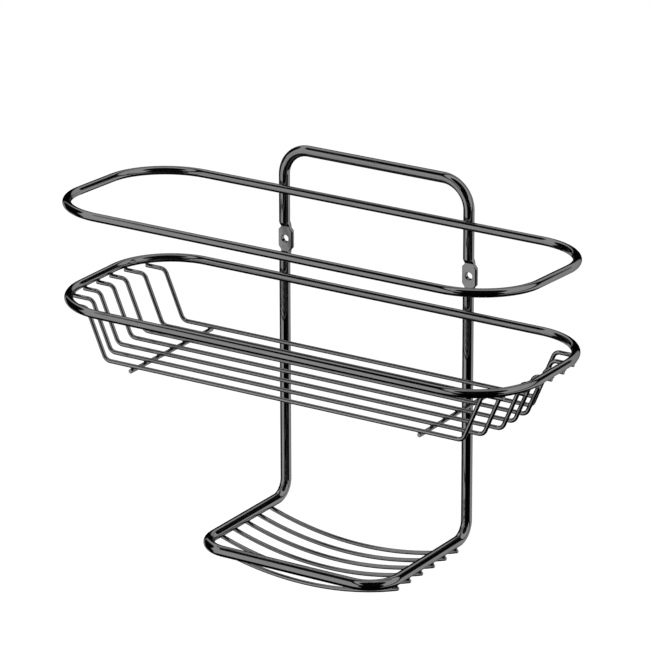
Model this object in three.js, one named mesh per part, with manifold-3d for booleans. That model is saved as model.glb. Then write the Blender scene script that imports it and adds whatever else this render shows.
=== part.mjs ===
// A wall-hung shower caddy of bent and welded steel wire: one frame loop that turns forward into a soap
// tray, a guard rail, and a basket with a wire floor. All sizes are in millimetres.
// +X is to the right for someone facing the caddy, -Y comes out of the wall and +Z is up. The wall is the
// plane y = 0, and the origin lies on it, midway between the two screw holes.
import * as THREE from "three";
import { mergeVertices } from "three/addons/utils/BufferGeometryUtils.js";
import Module from "manifold-3d";

// Frame loop: heights are from the screw holes to the wire's centreline
const frameWire = 6.35;
const legSpacing = 122;
const topRise = 55.3;
const topRadius = 16.5;
const trayDrop = 156.3;
const heelRadius = 10;
const trayReach = 93;
const trayRadius = 17.5;

// Screw eyelets, pressed flat and pierced in the legs
const eyeletWidth = 9.8;
const eyeletHeight = 15;
const eyeletThickness = 3;
const eyeletClip = 2.6;
const eyeletSlope = 3;
const screwHole = 4.4;

// Guard rail and basket rim: two loops bent alike, welded across the front of the legs
const railWire = 5;
const railWidth = 299;
const railDepth = 109;
const railRadius = 38;
const guardRise = 31.8;
const guardPitch = THREE.MathUtils.degToRad(2.45);
const rimDrop = 20.9;

// Basket floor: long wires hung under the rim, and two wires across below them
const floorWire = 2.5;
const floorCount = 7;
const floorPitch = 13;
const floorDrop = 32.8;
const endShelves = [10.6, 10.6, 13.4, 12.6];
const endSlope = 12.4;
const endRadius = 4.5;
const endPast = 0.4;
const crossInsets = { left: 50.5, right: 59.5 };
const crossPastFront = { left: 2.5, right: 0.8 };
const crossPastBack = 2.5;

// Soap tray: dished wires laid across under the frame's side rails
const trayWire = 2.5;
const trayCount = 6;
const trayPitch = 12.8;
const trayFront = 14.6;
const traySag = 9.4;
const trayPast = 3;

// Welded wires meet with this much left between them
const weldGap = 0.05;

// How finely round wire and bends are faceted
const frameSides = 14;
const railSides = 12;
const thinSides = 8;
const boreSides = 16;
const frameBendSteps = 6;
const railBendSteps = 10;
const floorBendSteps = 4;
const trayBendSteps = 10;

const legX = legSpacing / 2;
const legY = -frameWire / 2;
const backBarY = -frameWire - weldGap - railWire / 2;
const rimZ = -rimDrop;

// A wire's centreline: straight runs between its corners, each corner rounded by a bend radius.
class BentWire extends THREE.Curve {
  constructor(corners, closed, bendSteps) {
    super();
    this.stations = [];
    const count = corners.length;
    corners.forEach(([point, radius], i) => {
      const before = corners[(i + count - 1) % count][0];
      const after = corners[(i + 1) % count][0];
      const into = point.clone().sub(before).normalize();
      const out = after.clone().sub(point).normalize();
      if (!closed && i === 0) {
        this.stations.push([point, out]);
      } else if (!closed && i === count - 1) {
        this.stations.push([point, into]);
      } else {
        this.addBend(point, into, out, radius, bendSteps);
      }
    });
    if (closed) this.stations.push(this.stations[0]);
    this.spans = this.stations.length - 1;
  }

  addBend(point, into, out, radius, steps) {
    const turn = into.angleTo(out);
    const axis = into.clone().cross(out).normalize();
    const start = point.clone().addScaledVector(into, -radius * Math.tan(turn / 2));
    const toCentre = axis.clone().cross(into).multiplyScalar(radius);
    const centre = start.clone().add(toCentre);
    for (let k = 0; k <= steps; k++) {
      const angle = (turn * k) / steps;
      const spoke = toCentre.clone().negate().applyAxisAngle(axis, angle);
      this.stations.push([centre.clone().add(spoke), into.clone().applyAxisAngle(axis, angle)]);
    }
  }

  station(u) {
    return this.stations[Math.round(u * this.spans)];
  }

  getPointAt(u) {
    return this.station(u)[0].clone();
  }

  getTangentAt(u) {
    return this.station(u)[1].clone();
  }
}

const at = (x, y, z) => new THREE.Vector3(x, y, z);

// A closed loop of round wire
function loopWire(path, diameter, sides) {
  return new THREE.TubeGeometry(path, path.spans, diameter / 2, sides, true);
}

// A length of round wire with square-cut ends
function openWire(path, diameter, sides) {
  const section = new THREE.Shape().absarc(0, 0, diameter / 2, 0, 2 * Math.PI);
  return new THREE.ExtrudeGeometry(section, {
    steps: path.spans,
    curveSegments: sides / 2,
    extrudePath: path,
  });
}

const wasm = await Module();
wasm.setup();

// A closed geometry as a solid that can be cut and joined
function solid(geometry) {
  const bare = geometry.index ? geometry.toNonIndexed() : geometry;
  bare.deleteAttribute("normal");
  bare.deleteAttribute("uv");
  const merged = mergeVertices(bare, 1e-4);
  return new wasm.Manifold(
    new wasm.Mesh({
      numProp: 3,
      vertProperties: merged.attributes.position.array,
      triVerts: new Uint32Array(merged.index.array),
    }),
  );
}

function surface(body) {
  const { vertProperties, triVerts } = body.getMesh();
  const geometry = new THREE.BufferGeometry();
  geometry.setAttribute("position", new THREE.BufferAttribute(vertProperties, 3));
  geometry.setIndex(new THREE.BufferAttribute(triVerts, 1));
  return geometry;
}

const caddy = new THREE.Group();

function addPiece(name, geometry) {
  const chrome = new THREE.MeshStandardMaterial({ color: 0x8a8c8f, metalness: 1, roughness: 0.12 });
  const piece = new THREE.Mesh(geometry, chrome);
  piece.name = name;
  caddy.add(piece);
  return piece;
}

// Frame: over the top bar, down the right leg, forward at the heels, round the tray and up the left leg
function framePath() {
  const trayY = legY - trayReach;
  const corners = [
    [at(-legX, legY, topRise), topRadius],
    [at(legX, legY, topRise), topRadius],
    [at(legX, legY, -trayDrop), heelRadius],
    [at(legX, trayY, -trayDrop), trayRadius],
    [at(-legX, trayY, -trayDrop), trayRadius],
    [at(-legX, legY, -trayDrop), heelRadius],
  ];
  return new BentWire(corners, true, frameBendSteps);
}

// Eyelet: a flat with clipped corners whose back lies on the wall
function eyeletFlat() {
  const [w, h, c] = [eyeletWidth / 2, eyeletHeight / 2, eyeletClip];
  const quarter = [
    [w, h - c],
    [w - c, h],
  ];
  const outline = [
    ...quarter,
    ...quarter.map(([x, z]) => [-x, z]).reverse(),
    ...quarter.map(([x, z]) => [-x, -z]),
    ...quarter.map(([x, z]) => [x, -z]).reverse(),
  ];
  const shape = new THREE.Shape(outline.map(([x, z]) => new THREE.Vector2(x, z)));
  return new THREE.ExtrudeGeometry(shape, { depth: eyeletThickness, bevelEnabled: false }).rotateX(
    Math.PI / 2,
  );
}

// What the press takes off the front of the wire, leaving a slope above and below the flat
function pressCut() {
  const h = eyeletHeight / 2;
  const depth = 2 * frameWire;
  const reach = h + ((depth - eyeletThickness) * eyeletSlope) / (frameWire - eyeletThickness);
  const profile = new THREE.Shape([
    new THREE.Vector2(-eyeletThickness, -h),
    new THREE.Vector2(-eyeletThickness, h),
    new THREE.Vector2(-depth, reach),
    new THREE.Vector2(-depth, -reach),
  ]);
  return new THREE.ExtrudeGeometry(profile, { depth: 2 * frameWire, bevelEnabled: false })
    .translate(0, 0, -frameWire)
    .rotateX(Math.PI / 2)
    .rotateZ(Math.PI / 2);
}

function screwBore() {
  return new THREE.CylinderGeometry(screwHole / 2, screwHole / 2, 4 * eyeletThickness, boreSides);
}

let frame = solid(loopWire(framePath(), frameWire, frameSides));
for (const x of [-legX, legX]) {
  frame = frame
    .subtract(solid(pressCut().translate(x, 0, 0)))
    .add(solid(eyeletFlat().translate(x, 0, 0)))
    .subtract(solid(screwBore().translate(x, 0, 0)));
}
addPiece("frame", surface(frame));

// Guard rail and basket rim: rounded oblongs that pass in front of the legs
function railLoop() {
  const x = railWidth / 2;
  const corners = [
    [at(x, 0, 0), railRadius],
    [at(x, -railDepth, 0), railRadius],
    [at(-x, -railDepth, 0), railRadius],
    [at(-x, 0, 0), railRadius],
  ];
  return loopWire(new BentWire(corners, true, railBendSteps), railWire, railSides);
}

const guardRail = addPiece("guard_rail", railLoop());
guardRail.position.set(0, backBarY, guardRise);
guardRail.rotation.x = -guardPitch;

const basketRim = addPiece("basket_rim", railLoop());
basketRim.position.set(0, backBarY, rimZ);

// Half the rim's width where it is crossed at a distance from its middle, front to back
function rimHalfWidth(offset) {
  const intoCorner = Math.max(0, Math.abs(offset) - (railDepth / 2 - railRadius));
  return railWidth / 2 - railRadius + Math.sqrt(railRadius ** 2 - intoCorner ** 2);
}

// Basket wires: each hangs under the rim by its turned-out ends and follows the rim's outline
const basketY = backBarY - railDepth / 2;
const shelfZ = rimZ - railWire / 2 - weldGap - floorWire / 2;
const floorZ = rimZ - floorDrop;
for (let i = 0; i < floorCount; i++) {
  const fromMiddle = i - (floorCount - 1) / 2;
  const offset = fromMiddle * floorPitch;
  const y = basketY + offset;
  const tipX = rimHalfWidth(offset) + endPast;
  const shelf = endShelves[Math.min(Math.floor(Math.abs(fromMiddle)), endShelves.length - 1)];
  const shoulderX = rimHalfWidth(offset) - shelf;
  const footX = shoulderX - endSlope;
  const half = [
    [at(tipX, y, shelfZ), 0],
    [at(shoulderX, y, shelfZ), endRadius],
    [at(footX, y, floorZ), endRadius],
  ];
  const otherHalf = half.map(([p, radius]) => [at(-p.x, p.y, p.z), radius]).reverse();
  const path = new BentWire([...half, ...otherHalf], false, floorBendSteps);
  addPiece(`basket_wire_${i + 1}`, openWire(path, floorWire, thinSides));
}

// Cross wires: straight, under the basket wires, each set in from its end of the rim
const floorHalf = ((floorCount - 1) * floorPitch) / 2;
const crossZ = floorZ - floorWire - weldGap;
for (const [side, inset] of Object.entries(crossInsets)) {
  const x = (railWidth / 2 - inset) * (side === "left" ? -1 : 1);
  const ends = [
    [at(x, basketY - floorHalf - crossPastFront[side], crossZ), 0],
    [at(x, basketY + floorHalf + crossPastBack, crossZ), 0],
  ];
  addPiece(`cross_wire_${side}`, openWire(new BentWire(ends, false, 1), floorWire, thinSides));
}

// Soap tray wires: shallow arcs under the frame's side rails, with straight ends past them
const traySlope = 2 * Math.atan((2 * traySag) / legSpacing);
const trayArc = legX / Math.sin(traySlope);
const trayEndZ = -trayDrop - ((frameWire + trayWire) / 2 + weldGap) / Math.cos(traySlope);
for (let i = 0; i < trayCount; i++) {
  const y = legY - trayReach + trayFront + i * trayPitch;
  const tip = at(legX, y, trayEndZ).add(
    at(Math.cos(traySlope), 0, Math.sin(traySlope)).multiplyScalar(trayPast),
  );
  const corners = [
    [at(-tip.x, y, tip.z), 0],
    [at(0, y, trayEndZ - legX * Math.tan(traySlope)), trayArc],
    [tip, 0],
  ];
  const path = new BentWire(corners, false, trayBendSteps);
  addPiece(`tray_wire_${i + 1}`, openWire(path, trayWire, thinSides));
}

export default caddy;
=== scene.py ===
import math
import random

import bmesh
import bpy
from mathutils import Matrix, Vector


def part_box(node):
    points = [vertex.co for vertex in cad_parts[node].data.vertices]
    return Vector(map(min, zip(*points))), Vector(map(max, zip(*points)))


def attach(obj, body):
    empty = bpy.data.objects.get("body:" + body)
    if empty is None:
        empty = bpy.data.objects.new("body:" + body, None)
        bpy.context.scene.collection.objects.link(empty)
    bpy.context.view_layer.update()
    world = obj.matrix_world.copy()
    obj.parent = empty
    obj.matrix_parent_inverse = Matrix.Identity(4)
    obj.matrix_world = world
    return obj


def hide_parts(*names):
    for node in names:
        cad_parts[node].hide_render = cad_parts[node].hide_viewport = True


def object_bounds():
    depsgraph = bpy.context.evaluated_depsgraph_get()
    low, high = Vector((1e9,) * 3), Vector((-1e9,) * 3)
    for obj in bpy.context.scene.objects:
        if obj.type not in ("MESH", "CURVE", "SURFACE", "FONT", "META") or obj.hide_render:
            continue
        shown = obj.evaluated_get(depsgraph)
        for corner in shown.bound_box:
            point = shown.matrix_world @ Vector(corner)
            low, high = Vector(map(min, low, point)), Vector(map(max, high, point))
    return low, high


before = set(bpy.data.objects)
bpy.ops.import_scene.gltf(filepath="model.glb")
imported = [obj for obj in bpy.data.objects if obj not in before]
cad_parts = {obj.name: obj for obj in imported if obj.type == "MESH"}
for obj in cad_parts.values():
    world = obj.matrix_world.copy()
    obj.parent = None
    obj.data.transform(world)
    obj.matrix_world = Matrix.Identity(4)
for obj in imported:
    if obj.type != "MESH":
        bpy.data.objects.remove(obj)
cad_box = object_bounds()


# ---- Frame wire -------------------------------------------------------------------------------------
# The frame is one 6.35 mm steel wire, bent on a bender from the top bar down both legs and forward round
# the soap tray, and butt-welded into a loop. Each leg is pressed flat and pierced for a wall screw, and
# the whole caddy is polished and chromed after welding.
def put_in_scene(name, work):
    """Turn a finished bmesh into an object of its own."""
    mesh = bpy.data.meshes.new(name)
    work.to_mesh(mesh)
    work.free()
    made = bpy.data.objects.new(name, mesh)
    bpy.context.scene.collection.objects.link(made)
    return made


class Bender:
    """Round wire as a bender makes it: fed straight through the die, or drawn round a former."""

    def __init__(self, diameter, sides, tip, heading, level):
        self.tip = Vector(tip)
        self.heading = Vector(heading).normalized()
        self.mesh = bmesh.new()
        side = Vector(level).normalized()
        turned = Matrix((side, self.heading.cross(side), self.heading)).transposed().to_4x4()
        place = Matrix.Translation(self.tip) @ turned
        section = self.mesh.verts.layers.float_vector.new("section")
        ring = bmesh.ops.create_circle(
            self.mesh, cap_ends=False, radius=diameter / 2, segments=sides, matrix=place
        )
        # Each point keeps its place in the wire's round section, which the drawn lines follow
        for vert in ring["verts"]:
            local = place.inverted() @ vert.co
            vert[section] = local / (diameter / 2)
        self.first = self.ring = self.mesh.edges[:]

    def feed(self, length, steps=1):
        for _ in range(steps):
            made = bmesh.ops.extrude_edge_only(self.mesh, edges=self.ring)["geom"]
            edges = [part for part in made if isinstance(part, bmesh.types.BMEdge)]
            self.ring = [edge for edge in edges if len(edge.link_faces) == 1]
            verts = [part for part in made if isinstance(part, bmesh.types.BMVert)]
            bmesh.ops.translate(self.mesh, verts=verts, vec=self.heading * length / steps)
        self.tip = self.tip + self.heading * length

    def bend(self, radius, angle, about, step=math.radians(3), fewest=4):
        about = Vector(about).normalized()
        centre = self.tip + about.cross(self.heading) * radius
        made = bmesh.ops.spin(
            self.mesh,
            geom=self.ring,
            cent=centre,
            axis=about,
            angle=angle,
            steps=max(fewest, round(angle / step)),
            use_duplicate=False,
        )["geom_last"]
        self.ring = [part for part in made if isinstance(part, bmesh.types.BMEdge)]
        turn = Matrix.Rotation(angle, 3, about)
        self.tip = centre + turn @ (self.tip - centre)
        self.heading = turn @ self.heading

    def close(self, seam=1e-5):
        bmesh.ops.remove_doubles(self.mesh, verts=self.mesh.verts[:], dist=seam)

    def crop_ends(self, rounding):
        caps = [bmesh.ops.contextual_create(self.mesh, geom=end)["faces"] for end in (self.first, self.ring)]
        rims = [edge for faces in caps for face in faces for edge in face.edges]
        bmesh.ops.bevel(
            self.mesh, geom=rims, offset=rounding, offset_type="OFFSET", affect="EDGES",
            segments=3, profile=0.5, material=-1,
        )

    def piece(self, name, finish, crisp=math.radians(40)):
        bmesh.ops.recalc_face_normals(self.mesh, faces=self.mesh.faces[:])
        made = put_in_scene(name, self.mesh)
        made.data.shade_smooth()
        made.data.set_sharp_from_angle(angle=crisp)
        made.data.materials.append(finish)
        return made


class Shade:
    """A value in a shader's node tree, so that its maths reads as plain sums."""

    def __init__(self, tree, socket=None):
        self.tree = tree
        self.socket = socket

    def node(self, kind, settings={}, sockets={}, out=0):
        made = self.tree.nodes.new(kind)
        for name, value in settings.items():
            setattr(made, name, value)
        for name, value in sockets.items():
            if isinstance(value, Shade):
                self.tree.links.new(value.socket, made.inputs[name])
            else:
                made.inputs[name].default_value = value
        return Shade(self.tree, made.outputs[out] if made.outputs else None)

    def maths(self, operation, first, second):
        return self.node("ShaderNodeMath", {"operation": operation}, {0: first, 1: second})

    def __add__(self, other):
        return self.maths("ADD", self, other)

    def __rsub__(self, other):
        return self.maths("SUBTRACT", other, self)

    def __mul__(self, other):
        return self.maths("MULTIPLY", self, other)

    __radd__ = __add__
    __rmul__ = __mul__

    def step(self, low, high):
        """0 up to the low value and 1 from the high one, with a smooth change between them."""
        ends = {"Value": self, "From Min": low, "From Max": high}
        return self.node("ShaderNodeMapRange", {"interpolation_type": "SMOOTHSTEP"}, ends)

    def vector(self, operation, first, second, out=0):
        settings = {"operation": operation}
        key = "Scale" if operation == "SCALE" else 1
        return self.node("ShaderNodeVectorMath", settings, {0: first, key: second}, out)

    def noise(self, place, scale, detail=2.0):
        sockets = {"Vector": place, "Scale": scale, "Detail": detail}
        return self.node("ShaderNodeTexNoise", sockets=sockets, out="Fac")

    def mix(self, share, first, second):
        """One colour turning into another; the colours' own sockets are 6 and 7, and their result is 2."""
        return self.node("ShaderNodeMix", {"data_type": "RGBA"}, {0: share, 6: first, 7: second}, out=2)


def empty_tree(owner):
    """Clear the nodes of a material or a world, ready for its own."""
    owner.use_nodes = True
    owner.node_tree.nodes.clear()
    return Shade(owner.node_tree)


def chrome(name, drawn_lines, haze):
    """Bright chrome over drawn wire: faint lines along the wire, a rippled plate and dried water spots."""
    clean_plate = (0.30, 0.30, 0.303, 1)
    dulled_plate = (0.235, 0.235, 0.238, 1)
    glancing_tint = (0.5, 0.5, 0.5, 1)
    line_waves = 30.0
    line_depth = 0.25
    smudge_cover, ring_cover = 0.35, 0.5
    line_haze, smudge_haze, film_haze = 0.03, 0.04, 0.1

    material = bpy.data.materials.new(name)
    shade = empty_tree(material)
    place = shade.node("ShaderNodeTexCoord", out="Object")
    section = shade.node("ShaderNodeAttribute", {"attribute_name": "section"}, out="Vector")

    # The lines are close together round the wire and long along it
    round_wire = shade.vector("SCALE", section, drawn_lines)
    along = shade.vector("SCALE", place, line_waves)
    lines = shade.noise(shade.vector("ADD", round_wire, along), scale=1.0, detail=3.0)
    ripple = shade.noise(place, scale=850.0, detail=1.0)

    # Handling leaves wide smudges, and water dries in small round films with a darker ring
    smudge = shade.noise(place, scale=62.0, detail=3.0).step(low=0.48, high=0.7)
    spots = shade.node("ShaderNodeTexVoronoi", sockets={"Vector": place, "Scale": 190.0}, out="Distance")
    splashed = shade.noise(place, scale=41.0).step(low=0.5, high=0.6)
    film = (1 - spots.step(low=0.1, high=0.2)) * splashed
    ring = film * spots.step(low=0.06, high=0.12)

    dulling = smudge * smudge_cover + ring * ring_cover
    bump = shade.node(
        "ShaderNodeBump",
        sockets={"Strength": 0.5, "Distance": 1e-5, "Height": lines * line_depth + ripple},
        out="Normal",
    )
    surface = shade.node(
        "ShaderNodeBsdfPrincipled",
        sockets={
            "Base Color": shade.mix(dulling, clean_plate, dulled_plate),
            "Metallic": 1.0,
            "Roughness": haze + lines * line_haze + smudge * smudge_haze + film * film_haze,
            "Specular Tint": glancing_tint,
            "Normal": bump,
        },
    )
    shade.node("ShaderNodeOutputMaterial", sockets={"Surface": surface})
    return material


frame_wire = 0.00635
frame_low, frame_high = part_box("frame")
top_radius = 0.0165
heel_radius = 0.010
tray_radius = 0.0175
right_angle = math.pi / 2

# The press flattens a leg over the eyelet's height, with a sloping run at each end
eyelet_width = 0.0098
eyelet_half = 0.0075
eyelet_thickness = 0.003
eyelet_corner = 0.0026
press_run = 0.003
press_end = eyelet_half + press_run
press_steps = 56
die_flat = 0.82

leg_x = frame_high.x - eyelet_width / 2
leg_y = -frame_wire / 2
top_z = frame_high.z - frame_wire / 2
tray_z = frame_low.z + frame_wire / 2
tray_front = frame_low.y + frame_wire / 2
top_half = leg_x - top_radius
leg_upper = top_z - top_radius - press_end
leg_lower = -tray_z - heel_radius - press_end
side_rail = leg_y - tray_front - heel_radius - tray_radius

# From the middle of the top bar, down the right leg, round the tray and up the left leg
bender = Bender(frame_wire, sides=32, tip=(0, leg_y, top_z), heading=(1, 0, 0), level=(0, 0, 1))
bender.feed(top_half)
bender.bend(top_radius, right_angle, about=(0, 1, 0))
bender.feed(leg_upper)
bender.feed(2 * press_end, steps=press_steps)
bender.feed(leg_lower)
bender.bend(heel_radius, right_angle, about=(-1, 0, 0))
bender.feed(side_rail)
bender.bend(tray_radius, right_angle, about=(0, 0, -1))
bender.feed(2 * (leg_x - tray_radius))
bender.bend(tray_radius, right_angle, about=(0, 0, -1))
bender.feed(side_rail)
bender.bend(heel_radius, right_angle, about=(1, 0, 0))
bender.feed(leg_lower)
bender.feed(2 * press_end, steps=press_steps)
bender.feed(leg_upper)
bender.bend(top_radius, right_angle, about=(0, 1, 0))
bender.feed(top_half)
bender.close()


def ramp_down(start, run, value):
    """1 up to the start, and from there down to 0 over the run."""
    return 1 - min(1.0, max(0.0, (value - start) / run))


# A leg spreads sideways as the two dies close on it, and their flats stop whatever lies deep enough
for vert in bender.mesh.verts:
    height = abs(vert.co.z)
    if height >= press_end or abs(vert.co.y) > frame_wire:
        continue
    middle = math.copysign(leg_x, vert.co.x)
    across = (vert.co.x - middle) / (frame_wire / 2)
    deep = (vert.co.y - leg_y) / (frame_wire / 2)
    pressed = ramp_down(eyelet_half, press_run, height)
    spread = ramp_down(eyelet_half - eyelet_corner, (eyelet_width - frame_wire) / 2, height)
    width = frame_wire + (eyelet_width - frame_wire) * spread
    thickness = frame_wire + (eyelet_thickness - frame_wire) * pressed
    flattened = max(-1.0, min(1.0, deep * (1 + die_flat * pressed)))
    vert.co.x = middle + across * width / 2
    vert.co.y = (flattened - 1) * thickness / 2

polished = chrome("polished_chrome", drawn_lines=11.0, haze=0.055)
pressed_frame = bender.piece("pressed_frame", polished)

screw_hole = 0.0044
hole_rounding = 0.0004
rounding_angles = (0.35, 0.7, 1.05, right_angle)


def punch():
    """The punch that pierces both eyelets, with a small radius where it meets each face."""
    cutter = bmesh.new()
    wide = screw_hole / 2 + hole_rounding
    reach = 2 * eyelet_thickness
    half = eyelet_thickness / 2
    for x in (-leg_x, leg_x):
        profile = [(wide, -reach), (wide, -half)]
        for angle in rounding_angles:
            drop = hole_rounding * (1 - math.sin(angle))
            profile.append((screw_hole / 2 + drop, -half + hole_rounding * (1 - math.cos(angle))))
        profile += [(radius, -depth) for radius, depth in reversed(profile)]
        verts = [cutter.verts.new((x + radius, depth - half, 0)) for radius, depth in profile]
        edges = [cutter.edges.new(pair) for pair in zip(verts, verts[1:])]
        bmesh.ops.spin(
            cutter, geom=verts + edges, cent=(x, 0, 0), axis=(0, 1, 0), angle=2 * math.pi,
            steps=40, use_merge=True, use_duplicate=False,
        )
    bmesh.ops.holes_fill(cutter, edges=[edge for edge in cutter.edges if edge.is_boundary])
    bmesh.ops.recalc_face_normals(cutter, faces=cutter.faces[:])
    return put_in_scene("punch", cutter)


tool = punch()
pierce = pressed_frame.modifiers.new("pierce", "BOOLEAN")
pierce.operation = "DIFFERENCE"
pierce.solver = "EXACT"
pierce.object = tool
even = pressed_frame.modifiers.new("even", "WEIGHTED_NORMAL")
even.keep_sharp = True
bpy.context.view_layer.update()
pierced = pressed_frame.evaluated_get(bpy.context.evaluated_depsgraph_get())
pierced_mesh = bpy.data.meshes.new_from_object(pierced)
bpy.data.objects.remove(pressed_frame)
bpy.data.objects.remove(tool)
frame_piece = bpy.data.objects.new("frame_loop", pierced_mesh)
bpy.context.scene.collection.objects.link(frame_piece)
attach(frame_piece, "root")
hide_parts("frame")


# ---- Guard rail and basket rim ----------------------------------------------------------------------
# Two loops of 5 mm wire, bent alike as rounded oblongs and butt-welded at the middle of the back. Both
# lie across the front of the legs and are welded to them; the guard rail tips up a little to the front.
rail_wire = 0.005
rail_radius = 0.038
guard_pitch = math.radians(2.45)
rim_low, rim_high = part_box("basket_rim")
guard_low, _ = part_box("guard_rail")
rail_half = rim_high.x - rail_wire / 2
rail_back = rim_high.y - rail_wire / 2
rail_front = rim_low.y + rail_wire / 2
rail_depth = rail_back - rail_front
rim_z = (rim_low.z + rim_high.z) / 2
guard_z = guard_low.z + rail_wire / 2


def rail(name, node, back_z, pitch):
    bender = Bender(rail_wire, sides=28, tip=(0, rail_back, back_z), heading=(1, 0, 0), level=(0, 0, 1))
    bender.feed(rail_half - rail_radius)
    for run in (rail_depth, 2 * rail_half, rail_depth):
        bender.bend(rail_radius, right_angle, about=(0, 0, -1))
        bender.feed(run - 2 * rail_radius)
    bender.bend(rail_radius, right_angle, about=(0, 0, -1))
    bender.feed(rail_half - rail_radius)
    bender.close()
    tip_up = Matrix.Rotation(-pitch, 3, "X")
    bmesh.ops.rotate(bender.mesh, verts=bender.mesh.verts[:], cent=(0, rail_back, back_z), matrix=tip_up)
    piece = bender.piece(name, polished)
    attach(piece, "root")
    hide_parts(node)


rail("guard_loop", "guard_rail", guard_z, guard_pitch)
rail("rim_loop", "basket_rim", rim_z, 0.0)


# ---- Basket wires -----------------------------------------------------------------------------------
# Seven 2.5 mm wires make the basket's floor. A press turns both ends of each up and then out, and the
# turned-out ends are welded under the rim, each wire as long as the rim is wide where it meets it.
floor_wire = 0.0025
floor_sides = 20
crop_rounding = 0.0003
end_slope = 0.0124
end_radius = 0.0045
basket_wires = [f"basket_wire_{number}" for number in range(1, 8)]
thin_chrome = chrome("thin_wire_chrome", drawn_lines=7.0, haze=0.065)

# How long a turned-out end is up to the rim's middle, from the middle wire to the outermost ones, and how
# far it runs on past that
shelves = (0.0106, 0.0106, 0.0134, 0.0126)
shelf_past = 0.0004

for index, node in enumerate(basket_wires):
    low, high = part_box(node)
    y = (low.y + high.y) / 2
    floor_z = low.z + floor_wire / 2
    shelf_z = high.z - floor_wire / 2
    shelf = shelves[abs(index - len(basket_wires) // 2)] + shelf_past
    rise = math.atan2(shelf_z - floor_z, end_slope)
    ramp = math.hypot(shelf_z - floor_z, end_slope)
    cut = end_radius * math.tan(rise / 2)
    floor_run = 2 * (high.x - shelf - end_slope)
    bender = Bender(floor_wire, floor_sides, tip=(low.x, y, shelf_z), heading=(1, 0, 0), level=(0, 0, 1))
    bender.feed(shelf - cut)
    bender.bend(end_radius, rise, about=(0, 1, 0))
    bender.feed(ramp - 2 * cut)
    bender.bend(end_radius, rise, about=(0, -1, 0))
    bender.feed(floor_run - 2 * cut)
    bender.bend(end_radius, rise, about=(0, -1, 0))
    bender.feed(ramp - 2 * cut)
    bender.bend(end_radius, rise, about=(0, 1, 0))
    bender.feed(shelf - cut)
    bender.crop_ends(crop_rounding)
    piece = bender.piece(f"floor_{node}", thin_chrome)
    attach(piece, "root")
    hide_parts(node)


# ---- Cross wires ------------------------------------------------------------------------------------
# Two straight lengths of the same 2.5 mm wire, cropped square. They lie across under the basket wires
# and are welded to each, which keeps the floor from spreading.
cross_wires = ("cross_wire_left", "cross_wire_right")
for node in cross_wires:
    low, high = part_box(node)
    middle = (low + high) / 2
    front_end = (middle.x, low.y, middle.z)
    bender = Bender(floor_wire, floor_sides, tip=front_end, heading=(0, 1, 0), level=(0, 0, 1))
    bender.feed(high.y - low.y)
    bender.crop_ends(crop_rounding)
    piece = bender.piece(f"under_{node}", thin_chrome)
    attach(piece, "root")
    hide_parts(node)


# ---- Soap tray wires --------------------------------------------------------------------------------
# Six 2.5 mm wires, rolled to a shallow dish with short straight ends. They are welded under the frame's
# two side rails, so that a bar of soap lies in the dish and drains through it.
tray_sag = 0.0094
tray_past = 0.003
tray_slope = 2 * math.atan(tray_sag / leg_x)
tray_arc = leg_x / math.sin(tray_slope)
tray_wires = [f"tray_wire_{number}" for number in range(1, 7)]
for node in tray_wires:
    low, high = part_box(node)
    y = (low.y + high.y) / 2
    tip_x = leg_x + tray_past * math.cos(tray_slope)
    tip_z = high.z - floor_wire / 2 * math.cos(tray_slope)
    down = (math.cos(tray_slope), 0, -math.sin(tray_slope))
    bender = Bender(floor_wire, floor_sides, tip=(-tip_x, y, tip_z), heading=down, level=(0, -1, 0))
    bender.feed(tray_past)
    bender.bend(tray_arc, 2 * tray_slope, about=(0, -1, 0), step=math.radians(1))
    bender.feed(tray_past)
    bender.crop_ends(crop_rounding)
    piece = bender.piece(f"dished_{node}", thin_chrome)
    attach(piece, "root")
    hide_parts(node)


# ---- Weld beads -------------------------------------------------------------------------------------
# Every crossing is resistance-welded: the wires sink a little into each other and squeeze out a small
# bead, which the plating rounds off. Each bead fills the saddle between its two wires.
rng = random.Random(18)
smallest_bead, largest_bead = 0.92, 1.1


class Beads:
    """The beads of one kind of joint, joined in one piece."""

    def __init__(self, upper_radius, lower_radius, reach_upper, reach_lower, thickness):
        self.upper_radius = upper_radius
        self.lower_radius = lower_radius
        self.reach_upper = reach_upper
        self.reach_lower = reach_lower
        self.thickness = thickness
        self.mesh = bmesh.new()

    def add(self, place, upper, normal):
        upper, normal = Vector(upper).normalized(), Vector(normal).normalized()
        lower = normal.cross(upper)
        made = bmesh.ops.create_uvsphere(self.mesh, u_segments=20, v_segments=12, radius=1)["verts"]
        size = [rng.uniform(smallest_bead, largest_bead) for _ in range(3)]
        for vert in made:
            along = vert.co.x * self.reach_upper * size[0]
            across = vert.co.y * self.reach_lower * size[1]
            saddle = across * across / (4 * self.upper_radius) - along * along / (4 * self.lower_radius)
            out = vert.co.z * self.thickness * size[2] + saddle
            vert.co = Vector(place) + upper * along + lower * across + normal * out

    def piece(self, name):
        bmesh.ops.recalc_face_normals(self.mesh, faces=self.mesh.faces[:])
        piece = put_in_scene(name, self.mesh)
        piece.data.shade_smooth()
        piece.data.materials.append(thin_chrome)
        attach(piece, "root")


leg_beads = Beads(
    rail_wire / 2, frame_wire / 2, reach_upper=0.0023, reach_lower=0.0021, thickness=0.0006
)
for x in (-leg_x, leg_x):
    for z in (guard_z, rim_z):
        leg_beads.add((x, -frame_wire, z), upper=(1, 0, 0), normal=(0, -1, 0))
leg_beads.piece("leg_weld_beads")

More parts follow.
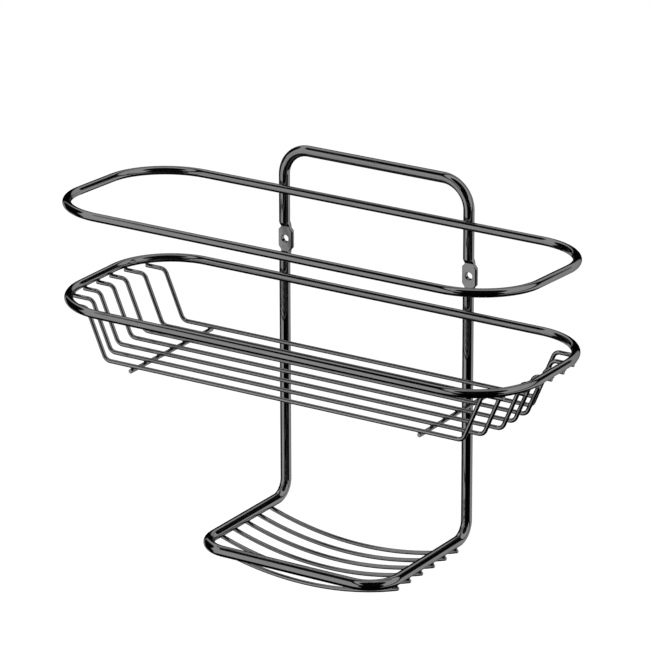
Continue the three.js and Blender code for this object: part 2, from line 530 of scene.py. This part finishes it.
# The outer basket wires meet the rim in its corners, where a bead lies along the rim's curve
thin_bead = 0.00042
end_beads = Beads(
    rail_wire / 2, floor_wire / 2, reach_upper=0.0012, reach_lower=0.0017, thickness=thin_bead
)
floor_beads = Beads(
    floor_wire / 2, floor_wire / 2, reach_upper=0.00115, reach_lower=0.00115, thickness=thin_bead
)
rim_middle = (rail_back + rail_front) / 2
straight_half = rail_depth / 2 - rail_radius
for node in basket_wires:
    low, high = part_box(node)
    y = (low.y + high.y) / 2
    into_corner = max(0.0, abs(y - rim_middle) - straight_half)
    lean = math.asin(into_corner / rail_radius) * math.copysign(1, y - rim_middle)
    for end, side in ((high.x - shelf_past, 1), (low.x + shelf_past, -1)):
        rim_run = (-math.sin(lean) * side, math.cos(lean), 0)
        end_beads.add((end, y, high.z), upper=rim_run, normal=(0, 0, 1))
    for cross in cross_wires:
        cross_low, cross_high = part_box(cross)
        cross_x = (cross_low.x + cross_high.x) / 2
        floor_beads.add((cross_x, y, low.z), upper=(1, 0, 0), normal=(0, 0, 1))
end_beads.piece("basket_end_weld_beads")
floor_beads.piece("floor_weld_beads")

tray_beads = Beads(
    frame_wire / 2, floor_wire / 2, reach_upper=0.0012, reach_lower=0.0018, thickness=thin_bead
)
for node in tray_wires:
    low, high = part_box(node)
    for side in (-1, 1):
        normal = Vector((-side * math.sin(tray_slope), 0, math.cos(tray_slope)))
        rail_centre = Vector((side * leg_x, (low.y + high.y) / 2, tray_z))
        tray_beads.add(rail_centre - normal * frame_wire / 2, upper=(0, 1, 0), normal=normal)
tray_beads.piece("tray_weld_beads")


# ---- Floor, light and camera ------------------------------------------------------------------------
# The caddy hangs clear of a matt, pale floor in a white studio. What its wires mirror is a pale room
# with a dark floor, cornice, doorway, bay and far end, which draw the dark lines along polished wire.
floor_reach = 8
floor_drop = 0.4
off_white = (0.96, 0.96, 0.96, 1)
near_white = (0.98, 0.98, 0.98, 1)
floor_mesh = bmesh.new()
bmesh.ops.create_grid(floor_mesh, x_segments=1, y_segments=1, size=floor_reach)
bmesh.ops.translate(floor_mesh, verts=floor_mesh.verts[:], vec=(0, 0, cad_box[0][2] - floor_drop))
studio_floor = put_in_scene("studio_floor", floor_mesh)
paint = bpy.data.materials.new("pale_floor")
shade = empty_tree(paint)
cloudy = shade.noise(shade.node("ShaderNodeTexCoord", out="Object"), scale=3.0)
tone = shade.mix(cloudy, off_white, near_white)
matt = shade.node(
    "ShaderNodeBsdfPrincipled",
    sockets={"Base Color": tone, "Roughness": 0.9, "Specular IOR Level": 0.0},
)
shade.node("ShaderNodeOutputMaterial", sockets={"Surface": matt})
studio_floor.data.materials.append(paint)
studio_floor.visible_glossy = False

azimuth = math.radians(32.48)
elevation = math.radians(19.92)
roll = math.radians(-0.14)
distance = 2.737
aim = Vector((-0.0069, -0.0456, -0.0289))
level = Vector((math.sin(azimuth), -math.cos(azimuth), 0))
back = level * math.cos(elevation) + Vector((0, 0, math.sin(elevation)))
sight = (-back).to_track_quat("-Z", "Y").to_matrix().to_4x4()
camera_data = bpy.data.cameras.new("camera")
camera_data.sensor_width = 36
camera_data.lens = 270.75
camera_data.clip_end = 100
camera = bpy.data.objects.new("camera", camera_data)
camera.matrix_world = Matrix.Translation(aim + back * distance) @ sight @ Matrix.Rotation(roll, 4, "Z")
bpy.context.scene.collection.objects.link(camera)
bpy.context.scene.camera = camera

lamp = bpy.data.lights.new("softbox", "AREA")
lamp.shape = "DISK"
lamp.size = 1.6
lamp.energy = 12
softbox = bpy.data.objects.new("softbox", lamp)
softbox.location = (0.4, -0.8, 2.2)
softbox.rotation_euler = (Vector((0, 0, 0)) - softbox.location).to_track_quat("-Z", "Y").to_euler()
softbox.visible_glossy = False
bpy.context.scene.collection.objects.link(softbox)

world = bpy.data.worlds.new("studio")
bpy.context.scene.world = world
shade = empty_tree(world)
direction = shade.node("ShaderNodeTexCoord", out="Generated")


def closeness(bearing, height):
    """How near a direction is to a place in the room, given in degrees from +X and up: 1 is on it."""
    bearing, height = math.radians(bearing), math.radians(height)
    flat = Vector((math.cos(bearing), math.sin(bearing), 0)) * math.cos(height)
    place = flat + Vector((0, 0, math.sin(height)))
    return shade.vector("DOT_PRODUCT", direction, place, out="Value")


# The cornice is a dark band round one place, and each other dark thing is a round patch: where it lies
# from the caddy, in degrees from +X and up, and how far it spreads
cornice = closeness(bearing=-22, height=45)
cornice_outer = cornice.step(low=0.22, high=0.28)
cornice_inner = cornice.step(low=0.42, high=0.48)
lit = 1 - cornice_outer * (1 - cornice_inner)
edge_blur = 0.02
dark_things = {
    "floor": (0, -90, 53),
    "far_end": (122.5, 0, 28),
    "doorway_low": (188, -15, 24),
    "doorway_high": (178, 16, 27),
    "bay_low": (-55, -10, 39),
    "bay_high": (-48, 45, 35),
}
for bearing, height, spread in dark_things.values():
    edge = math.cos(math.radians(spread))
    lit = lit * (1 - closeness(bearing, height).step(low=edge - edge_blur, high=edge + edge_blur))

wall_glow = 1.25
mirrored_glow = 0.93
mirrored_dark = 0.003
mirrored = shade.node("ShaderNodeLightPath", out="Is Glossy Ray")
glow = (1 - mirrored) * wall_glow + mirrored * (lit * mirrored_glow + mirrored_dark)
backdrop = shade.node("ShaderNodeBackground", sockets={"Strength": glow})
shade.node("ShaderNodeOutputWorld", sockets={"Surface": backdrop})
bpy.context.scene.view_settings.view_transform = "Standard"
